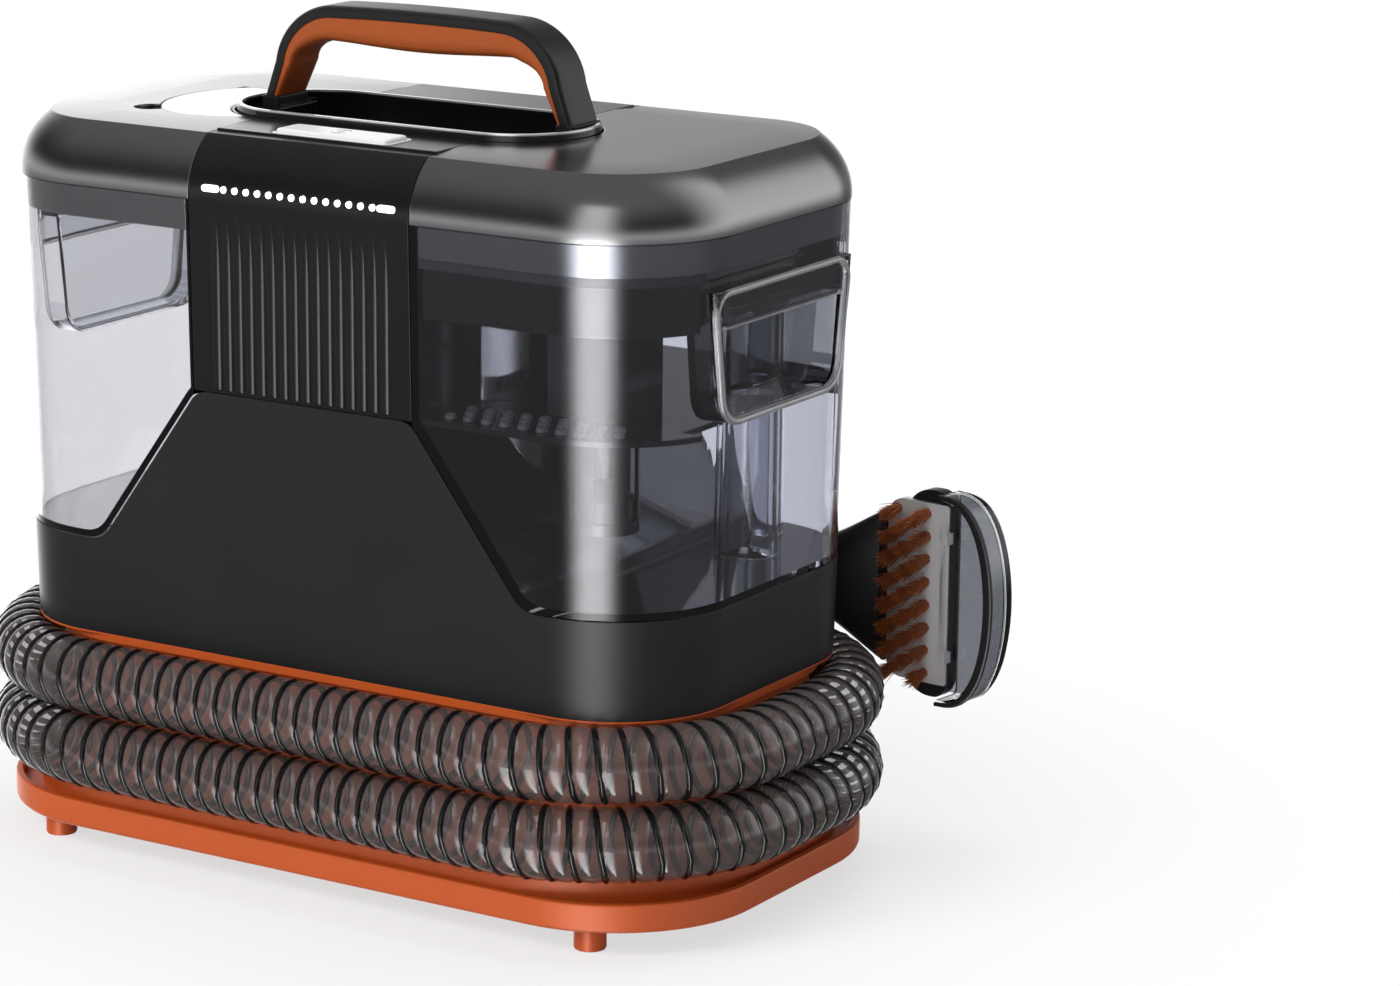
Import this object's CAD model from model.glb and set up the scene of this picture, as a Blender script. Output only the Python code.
import math
import bmesh
import bpy
from mathutils import Matrix, Vector


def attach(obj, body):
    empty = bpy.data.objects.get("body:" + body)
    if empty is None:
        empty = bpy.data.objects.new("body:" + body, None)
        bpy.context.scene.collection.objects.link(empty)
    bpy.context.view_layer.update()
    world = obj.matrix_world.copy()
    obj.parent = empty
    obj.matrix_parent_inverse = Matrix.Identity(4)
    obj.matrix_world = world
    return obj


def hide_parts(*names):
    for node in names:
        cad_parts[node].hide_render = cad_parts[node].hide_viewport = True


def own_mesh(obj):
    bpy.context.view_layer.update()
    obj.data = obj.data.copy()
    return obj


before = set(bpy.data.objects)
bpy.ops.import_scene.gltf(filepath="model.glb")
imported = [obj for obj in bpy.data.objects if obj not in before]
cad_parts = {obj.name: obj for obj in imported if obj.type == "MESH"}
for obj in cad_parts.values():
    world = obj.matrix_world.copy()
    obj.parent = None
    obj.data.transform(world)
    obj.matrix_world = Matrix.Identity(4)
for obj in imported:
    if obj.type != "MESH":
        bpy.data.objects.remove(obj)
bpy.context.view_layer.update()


# ------------------------------------------------------------------ studio
# Camera a little to the right of the front, a pale floor, three soft lamps and
# a bright room for gloss and glass to show.

def placed(name, data):
    """New object in the scene."""
    made = bpy.data.objects.new(name, data)
    bpy.context.collection.objects.link(made)
    return made


camera = placed("camera", bpy.data.cameras.new("camera"))
bpy.context.scene.camera = camera
camera.data.lens = 116.64
camera.data.sensor_width = 36
camera.data.shift_x = 0.147
camera.data.shift_y = 0.0028
camera.data.clip_end = 40
ahead = Vector((-0.541, 0.807, -0.236)).normalized()
across = ahead.cross(Vector((0, 0, 1))).normalized()
camera.matrix_world = (Matrix.Translation((1.1045, -1.5968, 0.6278))
                       @ Matrix((across, across.cross(ahead), -ahead)).transposed().to_4x4())
bpy.context.scene.view_settings.view_transform = "Standard"


def plug(tree, socket, value):
    """Links a wire to a socket, or sets the socket to a value."""
    if isinstance(value, Wire):
        tree.links.new(value.socket, socket)
    else:
        socket.default_value = value


class Wire:
    """An output of a node. A sum written with wires adds its Math nodes."""

    def __init__(self, tree, node, out=0):
        self.tree, self.node, self.socket = tree, node, node.outputs[out]

    def out(self, name):
        return Wire(self.tree, self.node, name)

    def maths(self, operation, *others, clamp=False, swapped=False):
        node = self.tree.nodes.new("ShaderNodeMath")
        node.operation, node.use_clamp = operation, clamp
        values = (self,) + others
        for socket, value in zip(node.inputs, values[::-1] if swapped else values):
            plug(self.tree, socket, value)
        return Wire(self.tree, node)

    def __add__(self, other):
        return self.maths("ADD", other)

    def __sub__(self, other):
        return self.maths("SUBTRACT", other)

    def __rsub__(self, other):
        return self.maths("SUBTRACT", other, swapped=True)

    def __mul__(self, other):
        return self.maths("MULTIPLY", other)

    def __truediv__(self, other):
        return self.maths("DIVIDE", other)

    __radd__, __rmul__ = __add__, __mul__


class Bench:
    """A node tree that is being put together, one node at a time."""

    def __init__(self, tree):
        self.tree = tree

    def add(self, kind, settings=None, sockets=None, out=0):
        node = self.tree.nodes.new(kind)
        for name, value in (settings or {}).items():
            setattr(node, name, value)
        for name, value in (sockets or {}).items():
            plug(self.tree, node.inputs[name], value)
        return Wire(self.tree, node, out) if node.outputs else None

    def span(self, value, start, end, low=0.0, high=1.0, ease="SMOOTHSTEP"):
        """Low at a value of start, high at a value of end."""
        return self.add("ShaderNodeMapRange", {"interpolation_type": ease}, {
            "Value": value, "From Min": start, "From Max": end, "To Min": low, "To Max": high})

    def vector(self, operation, *values, out=0):
        return self.add("ShaderNodeVectorMath", {"operation": operation},
                        dict(enumerate(values)), out)

    def noise(self, place, scale, detail):
        return self.add("ShaderNodeTexNoise",
                        sockets={"Vector": place, "Scale": scale, "Detail": detail})

    def blend(self, share, first, second):
        return self.add("ShaderNodeMix", {"data_type": "RGBA"}, {0: share, 6: first, 7: second}, 2)

    def surface(self, **sockets):
        """Principled surface of a material; socket names have _ for a blank."""
        shader = self.add("ShaderNodeBsdfPrincipled", sockets={
            name.replace("_", " "): value for name, value in sockets.items()})
        self.add("ShaderNodeOutputMaterial", sockets={"Surface": shader})


def bare(owner):
    """Bench for the emptied node tree of a material or a world."""
    owner.use_nodes = True
    owner.node_tree.nodes.clear()
    return Bench(owner.node_tree)


# What gloss shows, by direction: a pale horizon, an upright strip of light in
# front, walls of different greys behind and a dim ceiling.
room = bpy.data.worlds.new("studio room")
bpy.context.scene.world = room
bench = bare(room)
towards = bench.add("ShaderNodeTexCoord", out="Generated")
east = bench.add("ShaderNodeSeparateXYZ", sockets={"Vector": towards})
north, height = east.out("Y"), east.out("Z")


def hill(off, narrow, power):
    """1 where off is 0, and less to both sides."""
    return ((off * narrow).maths("ABSOLUTE").maths("POWER", power) * -1).maths("EXPONENT")


strip = hill(east.maths("ARCTAN2", north * -1) - 0.2, 3.2, 3) * height.maths("LESS_THAN", 0.75)
fading = bench.span(height, -0.2, -0.05, 8.5, 1.6)
horizon = (height * height * -70).maths("EXPONENT")
level_with = hill(height - 0.05, 2.2, 2)
below, above = bench.span(height, 0.06, -0.2), bench.span(height, 0.3, 0.85)
behind = bench.span(north, 0.0, 0.8)
right, west = bench.span(east, 0.15, 0.45), bench.span(east, -0.1, -0.5)
far_west = bench.span(east, -0.53, -0.61)
shown = ((horizon + below * 0.2) * (1 - 0.85 * behind) + strip * fading
         + behind * level_with * (west * 0.38 + far_west * 1.2 + 0.08)
         + behind * ((1 - below) * right * 1.3 + below * west * 2.0) + above * 0.24 + 0.07)

# What lights the matt surfaces: a dim room, darker towards the right.
shaded = bench.span(east, 0.1, 0.9, 0.34, 0.1)
overhead = bench.span(height, 0.0, 0.7, 0.5, 1.35, "LINEAR")
seen = bench.add("ShaderNodeLightPath")
diffused = seen.out("Diffuse Depth").maths("MINIMUM", 1.0)
mirrored = seen.out("Glossy Depth").maths("MINIMUM", 1.0)
strength = (diffused * shaded * overhead
            + (1 - diffused) * (mirrored * shown + (1 - mirrored)))
sky = bench.add("ShaderNodeBackground", sockets={"Color": (1, 1, 1, 1), "Strength": strength})
bench.add("ShaderNodeOutputWorld", sockets={"Surface": sky})

floor = placed("floor", bpy.data.meshes.new("floor"))
floor.data.from_pydata([(-9, -9, 0), (9, -9, 0), (9, 9, 0), (-9, 9, 0)], [], [(0, 1, 2, 3)])
floor.visible_glossy = floor.visible_transmission = False
paper = bpy.data.materials.new("floor paper")
bench = bare(paper)
shade = bench.add("ShaderNodeBsdfDiffuse", sockets={"Color": (0.93, 0.93, 0.935, 1)})
plain_white = bench.add("ShaderNodeEmission", sockets={"Color": (1, 1, 1, 1), "Strength": 1.0})
reach = bench.vector("LENGTH", bench.add("ShaderNodeTexCoord", out="Object"), out="Value")
looked = bench.add("ShaderNodeLightPath", out="Is Camera Ray")
shade = bench.add("ShaderNodeMixShader", sockets={
    0: bench.span(reach, 0.18, 0.44, 0.66, 1.0) * looked, 1: shade, 2: plain_white})
bench.add("ShaderNodeOutputMaterial", sockets={"Surface": shade})
floor.data.materials.append(paper)

for name, place, size, power in (("key lamp", (-0.9, -2.1, 1.9), 1.2, 40),
                                 ("front lamp", (0.45, -2.3, 0.9), 0.9, 6),
                                 ("top lamp", (0.1, 0.5, 2.3), 1.5, 23)):
    lamp = placed(name, bpy.data.lights.new(name, "AREA"))
    lamp.data.shape, lamp.data.size, lamp.data.energy = "SQUARE", size, power
    lamp.location = place
    aim = Vector((0, 0, 0.15)) - Vector(place)
    lamp.rotation_euler = aim.to_track_quat("-Z", "Y").to_euler()
    lamp.visible_camera = lamp.visible_glossy = lamp.visible_transmission = False


# --------------------------------------------------------------- base tray
# Injection-moulded orange tray that the whole machine stands on: a low rim, a
# raised ledge for the hose, and a row of small ribs inside each long side.

mm = 0.001
tray_w, tray_d, tray_r = 377, 210.6, 68
z_tray, z_floor, z_rim, z_ledge = 10.5, 18.9, 23.4, 30.7
rim_t, wall = 3.4, 3
waist_x, waist_y, waist_r = 171.2, 89, 68.3


def arc(cx, cy, radius, start, end, cuts):
    """Points on a circle between two angles, in degrees."""
    return [(cx + radius * math.cos(a), cy + radius * math.sin(a))
            for a in [math.radians(start + (end - start) * i / cuts) for i in range(cuts + 1)]]


def circle(cx, cy, radius, sides):
    return arc(cx, cy, radius, 0, 360, sides)[:-1]


def rounded(x0, x1, half, r_left, r_right, cuts=10):
    """Rectangle from x0 to x1 with rounded corners, anticlockwise."""
    left, right = x0 + r_left, x1 - r_right
    return (arc(right, half - r_right, r_right, 0, 90, cuts)
            + arc(left, half - r_left, r_left, 90, 180, cuts)
            + arc(left, r_left - half, r_left, 180, 270, cuts)
            + arc(right, r_right - half, r_right, 270, 360, cuts))


def ring(width, depth, radius, z, cuts=18):
    """Rounded rectangle at height z, in mm."""
    return [(x, y, z) for x, y in rounded(-width / 2, width / 2, depth / 2, radius, radius, cuts)]


def piece(name, points, faces):
    """New object from points in mm, with its faces turned outwards."""
    mesh = bpy.data.meshes.new(name)
    mesh.from_pydata([Vector(point) * mm for point in points], [], faces)
    shell = bmesh.new()
    shell.from_mesh(mesh)
    if shell.calc_volume(signed=True) < 0:
        bmesh.ops.reverse_faces(shell, faces=shell.faces)
    shell.to_mesh(mesh)
    shell.free()
    return placed(name, mesh)


def skin(name, rings, loop=False):
    """Closed skin over rings of equal count; loop joins the last to the first."""
    n, rows = len(rings[0]), len(rings)
    faces = []
    for k in range(rows if loop else rows - 1):
        here, there = k * n, (k + 1) % rows * n
        faces += [(here + i, here + (i + 1) % n, there + (i + 1) % n, there + i) for i in range(n)]
    if not loop:
        faces += [tuple(range(n))[::-1], tuple(range((rows - 1) * n, rows * n))]
    return piece(name, [point for row in rings for point in row], faces)


def extrusion(name, outline, axis, start, end):
    """Outline of 2-D points pushed along an axis, from start to end."""
    put = {"X": lambda u, v, t: (t, u, v), "Y": lambda u, v, t: (u, t, v),
           "Z": lambda u, v, t: (u, v, t)}[axis]
    return skin(name, [[put(u, v, t) for u, v in outline] for t in (start, end)])


def slab(name, x0, x1, y0, y1, z0, z1):
    return extrusion(name, [(x0, y0), (x1, y0), (x1, y1), (x0, y1)], "Z", z0, z1)


def settled(made):
    """The object with its modifiers worked into its mesh."""
    graph = bpy.context.evaluated_depsgraph_get()
    mesh = bpy.data.meshes.new_from_object(made.evaluated_get(graph))
    made.modifiers.clear()
    made.data = mesh
    return made


def shaped(body, **tools):
    """Body after cut=, join= and keep= tools, taken in the order given."""
    how = {"cut": "DIFFERENCE", "join": "UNION", "keep": "INTERSECT"}
    spent = []
    for step, tool in tools.items():
        for one in tool if isinstance(tool, list) else [tool]:
            knife = body.modifiers.new(step, "BOOLEAN")
            knife.operation, knife.object = how[step.rstrip("12")], one
            knife.solver = "MANIFOLD"
            spent.append(one)
    settled(body)
    for one in spent:
        bpy.data.objects.remove(one)
    return body


def finished(made, material, body, crease=32):
    """Smooth but for its creases, in its material, riding on its body."""
    mesh = made.data
    shell = bmesh.new()
    shell.from_mesh(mesh)
    bmesh.ops.remove_doubles(shell, verts=shell.verts, dist=2e-6)
    bmesh.ops.dissolve_degenerate(shell, edges=shell.edges, dist=1e-6)
    for face in shell.faces:
        face.smooth = True
    for edge in shell.edges:
        edge.smooth = len(edge.link_faces) == 2 and edge.calc_face_angle(0) < math.radians(crease)
    shell.to_mesh(mesh)
    shell.free()
    mesh.materials.clear()
    mesh.materials.append(material)
    even = made.modifiers.new("even shading", "WEIGHTED_NORMAL")
    even.keep_sharp = True
    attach(made, body)
    return made


def moulded(name, colour, rough, grain=900, depth=0.00002, mottle=0.06, worn=0.25,
            soften=0.0007, metallic=0.0, coat=0.0, level=0.5, smudge=0.05, flow=0.0):
    """Moulded or painted finish: fine grain, faint clouding, edges a little worn."""
    material = bpy.data.materials.new(name)
    bench = bare(material)
    place = bench.add("ShaderNodeTexCoord", out="Object")
    cloud, speck = bench.noise(place, 22.0, 3.0), bench.noise(place, float(grain), 2.0)
    edge = bench.add("ShaderNodeBevel", {"samples": 4}, {"Radius": soften})
    plain = bench.add("ShaderNodeNewGeometry", out="Normal")
    turned_off = (1 - bench.vector("DOT_PRODUCT", edge, plain, out="Value")) * 5
    wear = turned_off.maths("MULTIPLY", cloud + 0.4, clamp=True) * worn
    dim = [channel * (1 - mottle) for channel in colour] + [1]
    bright = [channel * (1 + mottle) + 0.0008 for channel in colour] + [1]
    rubbed = [min(1, channel * 1.5 + 0.03) for channel in colour] + [1]
    tone = bench.blend(wear, bench.blend(cloud * 0.7 + speck * 0.3, dim, bright), rubbed)
    relief = bench.add("ShaderNodeBump", sockets={
        "Strength": 0.6, "Distance": depth, "Height": speck, "Normal": edge})
    if flow:
        relief = bench.add("ShaderNodeBump", sockets={
            "Strength": 0.5, "Distance": flow, "Height": cloud, "Normal": relief})
    bench.surface(Base_Color=tone, Roughness=cloud * (2 * smudge) + (rough - smudge) + wear * 0.2,
                  Metallic=metallic, Specular_IOR_Level=level, Coat_Weight=coat,
                  Coat_Roughness=0.08, Normal=relief)
    return material


orange_moulding = moulded("orange moulding", (0.64, 0.108, 0.018), 0.42, grain=1400,
                          mottle=0.05, worn=0.12)


def tray_form(name, *steps):
    """The tray's outline taken through (inset, z) steps."""
    return skin(name, [ring(tray_w - 2 * a, tray_d - 2 * a, tray_r - a, z) for a, z in steps])


def ledge(name, out, z0, z1, soft=0.0):
    """The waist's outline grown by out, with a soft upper edge."""
    steps = ((0, z0), (0, z1)) if not soft else (
        (0, z0), (0, z1 - soft), (soft * 0.3, z1 - soft * 0.3), (soft, z1))
    return skin(name, [ring(2 * (waist_x + out - a), 2 * (waist_y + out - a), waist_r + out - a, z)
                       for a, z in steps])


def rod(name, x, y, z0, z1, radius, sides=32):
    return extrusion(name, circle(x, y, radius, sides), "Z", z0, z1)


foot_places = [(sx * 141, sy * 88) for sx in (-1, 1) for sy in (-1, 1)]
ledge_out = 12
tray = tray_form("base_tray_shell", (2.4, z_tray), (1.2, z_tray + 0.4), (0.4, z_tray + 1.2),
                 (0, z_tray + 2.4), (0, z_rim - 1.2), (0.35, z_rim - 0.35), (1.1, z_rim))
basin = tray_form("basin", (rim_t, z_floor), (rim_t, z_rim - 0.9), (rim_t - 0.3, z_rim - 0.3),
                  (rim_t - 1, z_rim + 0.05), (rim_t - 1.4, z_rim + 1))
tray = shaped(tray, cut=basin, join=ledge("step", ledge_out, z_floor - 1, z_ledge, 1.2),
              cut1=[tray_form("under", (rim_t, z_tray - 1), (rim_t, z_floor - wall)),
                    ledge("under step", ledge_out - wall, z_tray, z_ledge - wall)],
              join1=[rod("boss", x, y, z_tray, z_floor - 1, 6) for x, y in foot_places],
              cut2=[rod("socket", x, y, z_tray - 1, z_tray + 6, 3) for x, y in foot_places])
finished(tray, orange_moulding, "machine")
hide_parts("base_tray")

# Small ribs inside the rim, one form set out along each long side.
tick = extrusion("tick", [(-1.9, z_floor - 0.5), (1.9, z_floor - 0.5), (1.9, z_floor + 1.2),
                          (1.2, z_floor + 2.2), (-1.9, z_floor + 2.2)], "X", -0.9, 0.9)


def grown(name, build, inputs):
    """Mesh that a Geometry Nodes tree grows.

    inputs has each named input's socket type and value. build adds the nodes of the form,
    which is then realized and given the material.
    """
    tree = bpy.data.node_groups.new(name, "GeometryNodeTree")
    tree.interface.new_socket("Geometry", in_out="OUTPUT", socket_type="NodeSocketGeometry")
    for label, (kind, _) in inputs.items():
        tree.interface.new_socket(label, in_out="INPUT", socket_type="NodeSocket" + kind)
    bench = Bench(tree)
    given = bench.add("NodeGroupInput").out
    real = bench.add("GeometryNodeRealizeInstances", sockets={"Geometry": build(bench, given)})
    set_in = bench.add("GeometryNodeSetMaterial",
                       sockets={"Geometry": real, "Material": given("Material")})
    bench.add("NodeGroupOutput", sockets={0: set_in})
    holder = placed(name, bpy.data.meshes.new(name))
    grower = holder.modifiers.new(name, "NODES")
    grower.node_group = tree
    for item in tree.interface.items_tree:
        if item.item_type == "SOCKET" and item.in_out == "INPUT":
            grower[item.identifier] = inputs[item.name][1]
    return settled(holder)


def shape_of(bench, wire):
    return bench.add("GeometryNodeObjectInfo", sockets={"Object": wire}, out="Geometry")


def offset(bench, x=0.0, y=0.0, z=0.0):
    return bench.add("ShaderNodeCombineXYZ", sockets={"X": x, "Y": y, "Z": z})


def in_line(bench, form, count, start, step, **more):
    """Copies of a form along a straight line."""
    line = bench.add("GeometryNodeMeshLine", sockets={
        "Count": count, "Start Location": start, "Offset": step})
    return bench.add("GeometryNodeInstanceOnPoints",
                     sockets={"Points": line, "Instance": form, **more})


def together(bench, forms):
    node = bench.tree.nodes.new("GeometryNodeJoinGeometry")
    for form in forms:
        bench.tree.links.new(form.socket, node.inputs[0])
    return Wire(bench.tree, node)


def rows_of_ribs(bench, given):
    """A row of ribs along X inside each long side."""
    form, step = shape_of(bench, given("Rib")), offset(bench, given("Pitch"))
    half = (given("Ribs") - 1) * given("Pitch") / 2
    return together(bench, [
        in_line(bench, form, given("Ribs"), offset(bench, half * -1, given("Reach") * side), step,
                Rotation=(0, 0, math.pi if side < 0 else 0)) for side in (-1, 1)])


tray_ribs = grown("tray_ribs", rows_of_ribs, {
    "Rib": ("Object", tick), "Ribs": ("Int", 9), "Pitch": ("Float", 26 * mm),
    "Reach": ("Float", (tray_d / 2 - rim_t - 1.2) * mm), "Material": ("Material", orange_moulding)})
finished(tray_ribs, orange_moulding, "machine")
bpy.data.objects.remove(tick)


# -------------------------------------------------------------------- feet
# Four round pegs of the same orange plastic, pressed into bosses under the tray.

foot_r, foot_h, stem_r = 7, 10.5, 3


def turned(name, x, y, steps, sides=40):
    """Lathe-turned form on an upright axis, from (radius, z) steps."""
    return skin(name, [[point + (z,) for point in circle(x, y, radius, sides)]
                       for radius, z in steps])


def joined(name, parts):
    """One object from several, which are used up."""
    shell = bmesh.new()
    for part in parts:
        shell.from_mesh(part.data)
        bpy.data.objects.remove(part)
    mesh = bpy.data.meshes.new(name)
    shell.to_mesh(mesh)
    shell.free()
    return placed(name, mesh)


foot_steps = ((4.2, 0.3), (4.6, 0), (foot_r - 1.2, 0), (foot_r - 0.35, 0.35), (foot_r, 1.2),
              (foot_r - 0.1, foot_h), (stem_r, foot_h), (stem_r, foot_h + 5.6),
              (stem_r - 0.4, foot_h + 6))
feet = joined("foot_pegs", [turned("foot", x, y, foot_steps) for x, y in foot_places])
finished(feet, orange_moulding, "machine")
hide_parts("feet")


def dress(node, material):
    """Gives a CAD node's own mesh its material."""
    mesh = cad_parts[node].data
    if not mesh.materials:
        mesh.materials.append(material)
    for place in range(len(mesh.materials)):
        mesh.materials[place] = material
    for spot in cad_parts[node].material_slots:
        spot.material = material


dress("waist_core", orange_moulding)
steel = moulded("zinc-plated steel", (0.55, 0.56, 0.58), 0.32, grain=500, metallic=1.0, worn=0.1)
inner_black = moulded("inner black moulding", (0.02, 0.02, 0.022), 0.5, grain=700)
inner_grey = moulded("inner grey moulding", (0.22, 0.23, 0.25), 0.25, grain=700)
dress("chassis", inner_grey)


# ----------------------------------------------------------------- housing
# Black tub with a pedestal between the tank seats and a tower that carries the
# recess of the handle. Moulded in one piece, satin outside, screwed to the waist.

z_waist, z_seat, z_bib, z_lid, z_top, z_pod = 98.3, 140.9, 214.7, 297.8, 325.4, 308.4
body_w, body_d, body_r, lean, seam = 349, 184.6, 52.3, 0.023, 0.3
column_w, bib_foot, bib_round = 113, 110, 11
pod_w, pod_d, pod_y = 176, 70, -9
crown_in, crown_turn = 15, math.radians(50)
outlet_x, suction_at, intake_at = -140, (142, 34), (128, 68)


def half_w(z):
    return body_w / 2 + lean * (z - z_waist)


def half_d(z):
    return body_d / 2 + lean * (z - z_waist)


def body_ring(z, inset=0.0, cuts=22):
    return ring(2 * (half_w(z) - inset), 2 * (half_d(z) - inset),
                body_r + lean * (z - z_waist) - inset, z, cuts)


def upright(name, z0, z1, inset=0.0):
    """Leaning body between two heights."""
    return skin(name, [body_ring(z0, inset), body_ring(z1, inset)])


def stadium(name, grow, z0, z1, cuts=28):
    """Outline of the carrying recess, grown all round."""
    points = arc((pod_w - pod_d) / 2, pod_y, pod_d / 2 + grow, -90, 90, cuts)
    return extrusion(name, points + [(-x, 2 * pod_y - y) for x, y in points], "Z", z0, z1)


def bib_outline(grow=0.0, cuts=8):
    """Front view of the pedestal, from its foot on the seats to the column."""
    foot, top = bib_foot + grow, column_w / 2 + grow
    slope = math.atan2(z_bib - z_seat, foot - top)
    bends = [slope * i / cuts for i in range(cuts + 1)]
    right = [(foot + 7 - 14 * math.sin(a), z_seat + grow + 14 * (1 - math.cos(a))) for a in bends]
    right += [(top - 7 + bib_round * math.sin(a), z_bib + grow - bib_round * (1 - math.cos(a)))
              for a in bends[::-1]]
    return ([(-foot - 9, z_seat - 1), (foot + 9, z_seat - 1), (foot + 9, z_seat + grow)] + right
            + [(-x, z) for x, z in right[::-1]] + [(-foot - 9, z_seat + grow)])


def bib(name, grow=0.0):
    return extrusion(name, bib_outline(grow), "Y", -150, 150)


gloss_black = moulded("gloss black moulding", (0.006, 0.006, 0.0065), 0.2, grain=260,
                      depth=0.000006, mottle=0.1, worn=0.08, level=0.42, smudge=0.03, flow=0.00012)
satin_black = moulded("satin black moulding", (0.012, 0.012, 0.0125), 0.36, grain=1600,
                      depth=0.00003, worn=0.1, level=0.28)

tub = shaped(upright("tub", z_waist, z_seat),
             cut=upright("tub room", z_waist - 1, z_seat - wall, wall))
pedestal = shaped(upright("pedestal", z_seat - 1, z_bib), keep=bib("pedestal form"))
hollow = shaped(upright("hollow", z_seat - wall - 1, z_bib - wall, wall),
                keep=bib("hollow form", -wall))
through_seat = (z_seat - 5, z_seat + 1)
housing = shaped(tub, join=[pedestal, stadium("tower", -1, z_seat - 2, z_pod - seam)],
                 cut=[hollow, stadium("tower room", -4, z_seat - wall - 1, z_pod + 1),
                      rod("outlet hole", outlet_x, 0, *through_seat, 10),
                      rod("suction hole", *suction_at, *through_seat, 12.3),
                      rod("intake hole", *intake_at, *through_seat, 9.3),
                      slab("vent hole", -126.3, -65.7, half_d(100) - 12, 130, 106.7, 129.3),
                      slab("cable hole", -12, 12, half_d(z_bib) - 30, half_d(z_bib) - 16,
                           z_bib - 5, z_bib + 1)])
finished(housing, satin_black, "machine")
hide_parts("lower_housing")


# ---------------------------------------------------------- centre column
# Two half shells of gloss black plastic over the tower. The front one carries
# sixteen drafted ribs that sink into the face on their way up to the lights.

deck_y, button_y = 76.53, -64.53


def crown_steps(inset, drop, steps):
    """(inset, z) pairs of the rounded shoulder, from the wall to the top."""
    pairs = []
    for i in range(steps + 1):
        a = crown_turn * i / steps
        pairs.append((inset + crown_in * (1 - math.cos(a)) / (1 - math.cos(crown_turn)),
                      z_lid - drop + (z_top - z_lid - 1.2) * math.sin(a) / math.sin(crown_turn)))
    return pairs + [(inset + crown_in + 22, z_top - drop)]


def column_outline(z0, inset=0.0, drop=0.0):
    side = [(half_d(z0) - inset, z0)]
    side += [(half_d(z) - a, z) for a, z in crown_steps(inset, drop, 16)]
    return side + [(-y, z) for y, z in side[::-1]]


def column_half(name, back):
    x = column_w / 2
    shell = extrusion(name, column_outline(z_bib + seam), "X", -x, x)
    front, rear = (seam / 2, 150) if back else (-150, -seam / 2)
    return shaped(shell, keep=slab("half", -x - 1, x + 1, front, rear, 0, 400), cut=[
        extrusion("room", column_outline(z_bib - 1, wall, wall), "X", wall - x, x - wall),
        slab("deck seat", -x - 1, x + 1, -deck_y, deck_y, z_top - 3, z_top + 20),
        slab("button room", -34, 34, button_y - 11.25, button_y + 11.25, z_top - 11, z_top + 20),
        stadium("tower way", seam, z_bib - 1, z_top + 50)])


z_led, led_pitch, led_bar = 303.2, 5.9, 9
led_xs = [(i - 6.5) * led_pitch for i in range(14)]
led_end = 7 * led_pitch + led_bar / 2 - 0.6


def led_hole(name, x, length, r=1.55):
    half = max(0.0, length / 2 - r)
    outline = arc(x + half, z_led, r, -90, 90, 12) + arc(x - half, z_led, r, 90, 270, 12)
    return extrusion(name, outline, "Y", -120, -half_d(z_led) + 6)


panel_gloss = moulded("gloss black panel", (0.0065, 0.0066, 0.007), 0.24, grain=300,
                      depth=0.000006, mottle=0.1, worn=0.08, level=0.3, smudge=0.03, flow=0.00008)
front_panel = shaped(column_half("front_panel_shell", False),
                     cut=[led_hole("hole", x, 3.1) for x in led_xs]
                     + [led_hole("slot", side * led_end, led_bar + 0.3) for side in (-1, 1)])
finished(front_panel, panel_gloss, "machine")
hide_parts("front_panel")
rear_cover = finished(column_half("rear_cover_shell", True), satin_black, "machine")
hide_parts("rear_cover")

# One rib: a drafted half round that sinks into the leaning face as it climbs.
rib_half, rib_sunk, rib_cuts = 2.55, 0.8, 18
rib_turns = [math.radians(-90 + 15 * k) for k in range(13)]
rib_rows = []
for i in range(rib_cuts + 1):
    z = z_bib + 2 + (z_lid - z_bib - 3) * i / rib_cuts
    proud = 1.25 * (1 - i / rib_cuts) ** 0.8 - 0.1
    rib_rows.append([(rib_half * math.sin(a),
                      -half_d(z) + rib_sunk - (proud + rib_sunk) * math.cos(a) ** 0.7, z)
                     for a in rib_turns])
rib = skin("rib", rib_rows)


def ribbed_front(bench, given):
    """Copies of the rib side by side across the panel."""
    start = offset(bench, (given("Ribs") - 1) * given("Pitch") / -2)
    return in_line(bench, shape_of(bench, given("Rib")), given("Ribs"), start,
                   offset(bench, given("Pitch")))


panel_ribs = grown("front_ribs", ribbed_front, {
    "Rib": ("Object", rib), "Ribs": ("Int", 16), "Pitch": ("Float", 5.8 * mm),
    "Material": ("Material", panel_gloss)})
finished(panel_ribs, panel_gloss, "machine", crease=60)
bpy.data.objects.remove(rib)


# -------------------------------------------------------- deck and button
# Flat gloss deck between the lids. A silver-painted push button with an inlaid
# power mark sits in a frame near its front edge.

silver = moulded("silver paint", (0.93, 0.935, 0.945), 0.3, grain=1500, depth=0.00001, mottle=0.04,
                 worn=0.1, metallic=0.15, smudge=0.04)
dress("top_deck", gloss_black)
dress("button_surround", silver)
dress("power_switch", inner_black)


def pillow(name, width, depth, radius, x, y, steps):
    """Rounded rectangle with a softened edge, from (inset, z) steps."""
    return skin(name, [[(px + x, py + y, pz) for px, py, pz in ring(
        width - 2 * a, depth - 2 * a, max(0.2, radius - a), z, 8)] for a, z in steps])


power_button = shaped(pillow("power_button_cap", 58, 17, 3, 0, button_y, (
    (0, z_top - 3), (0, z_top + 0.7), (0.2, z_top + 1.15), (0.55, z_top + 1.5),
    (1.1, z_top + 1.72), (2.4, z_top + 1.8))),
    join=rod("plunger", 0, button_y, z_top - 8, z_top - 2.5, 3, 24))
finished(power_button, silver, "power_button")
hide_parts("power_button")

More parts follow.
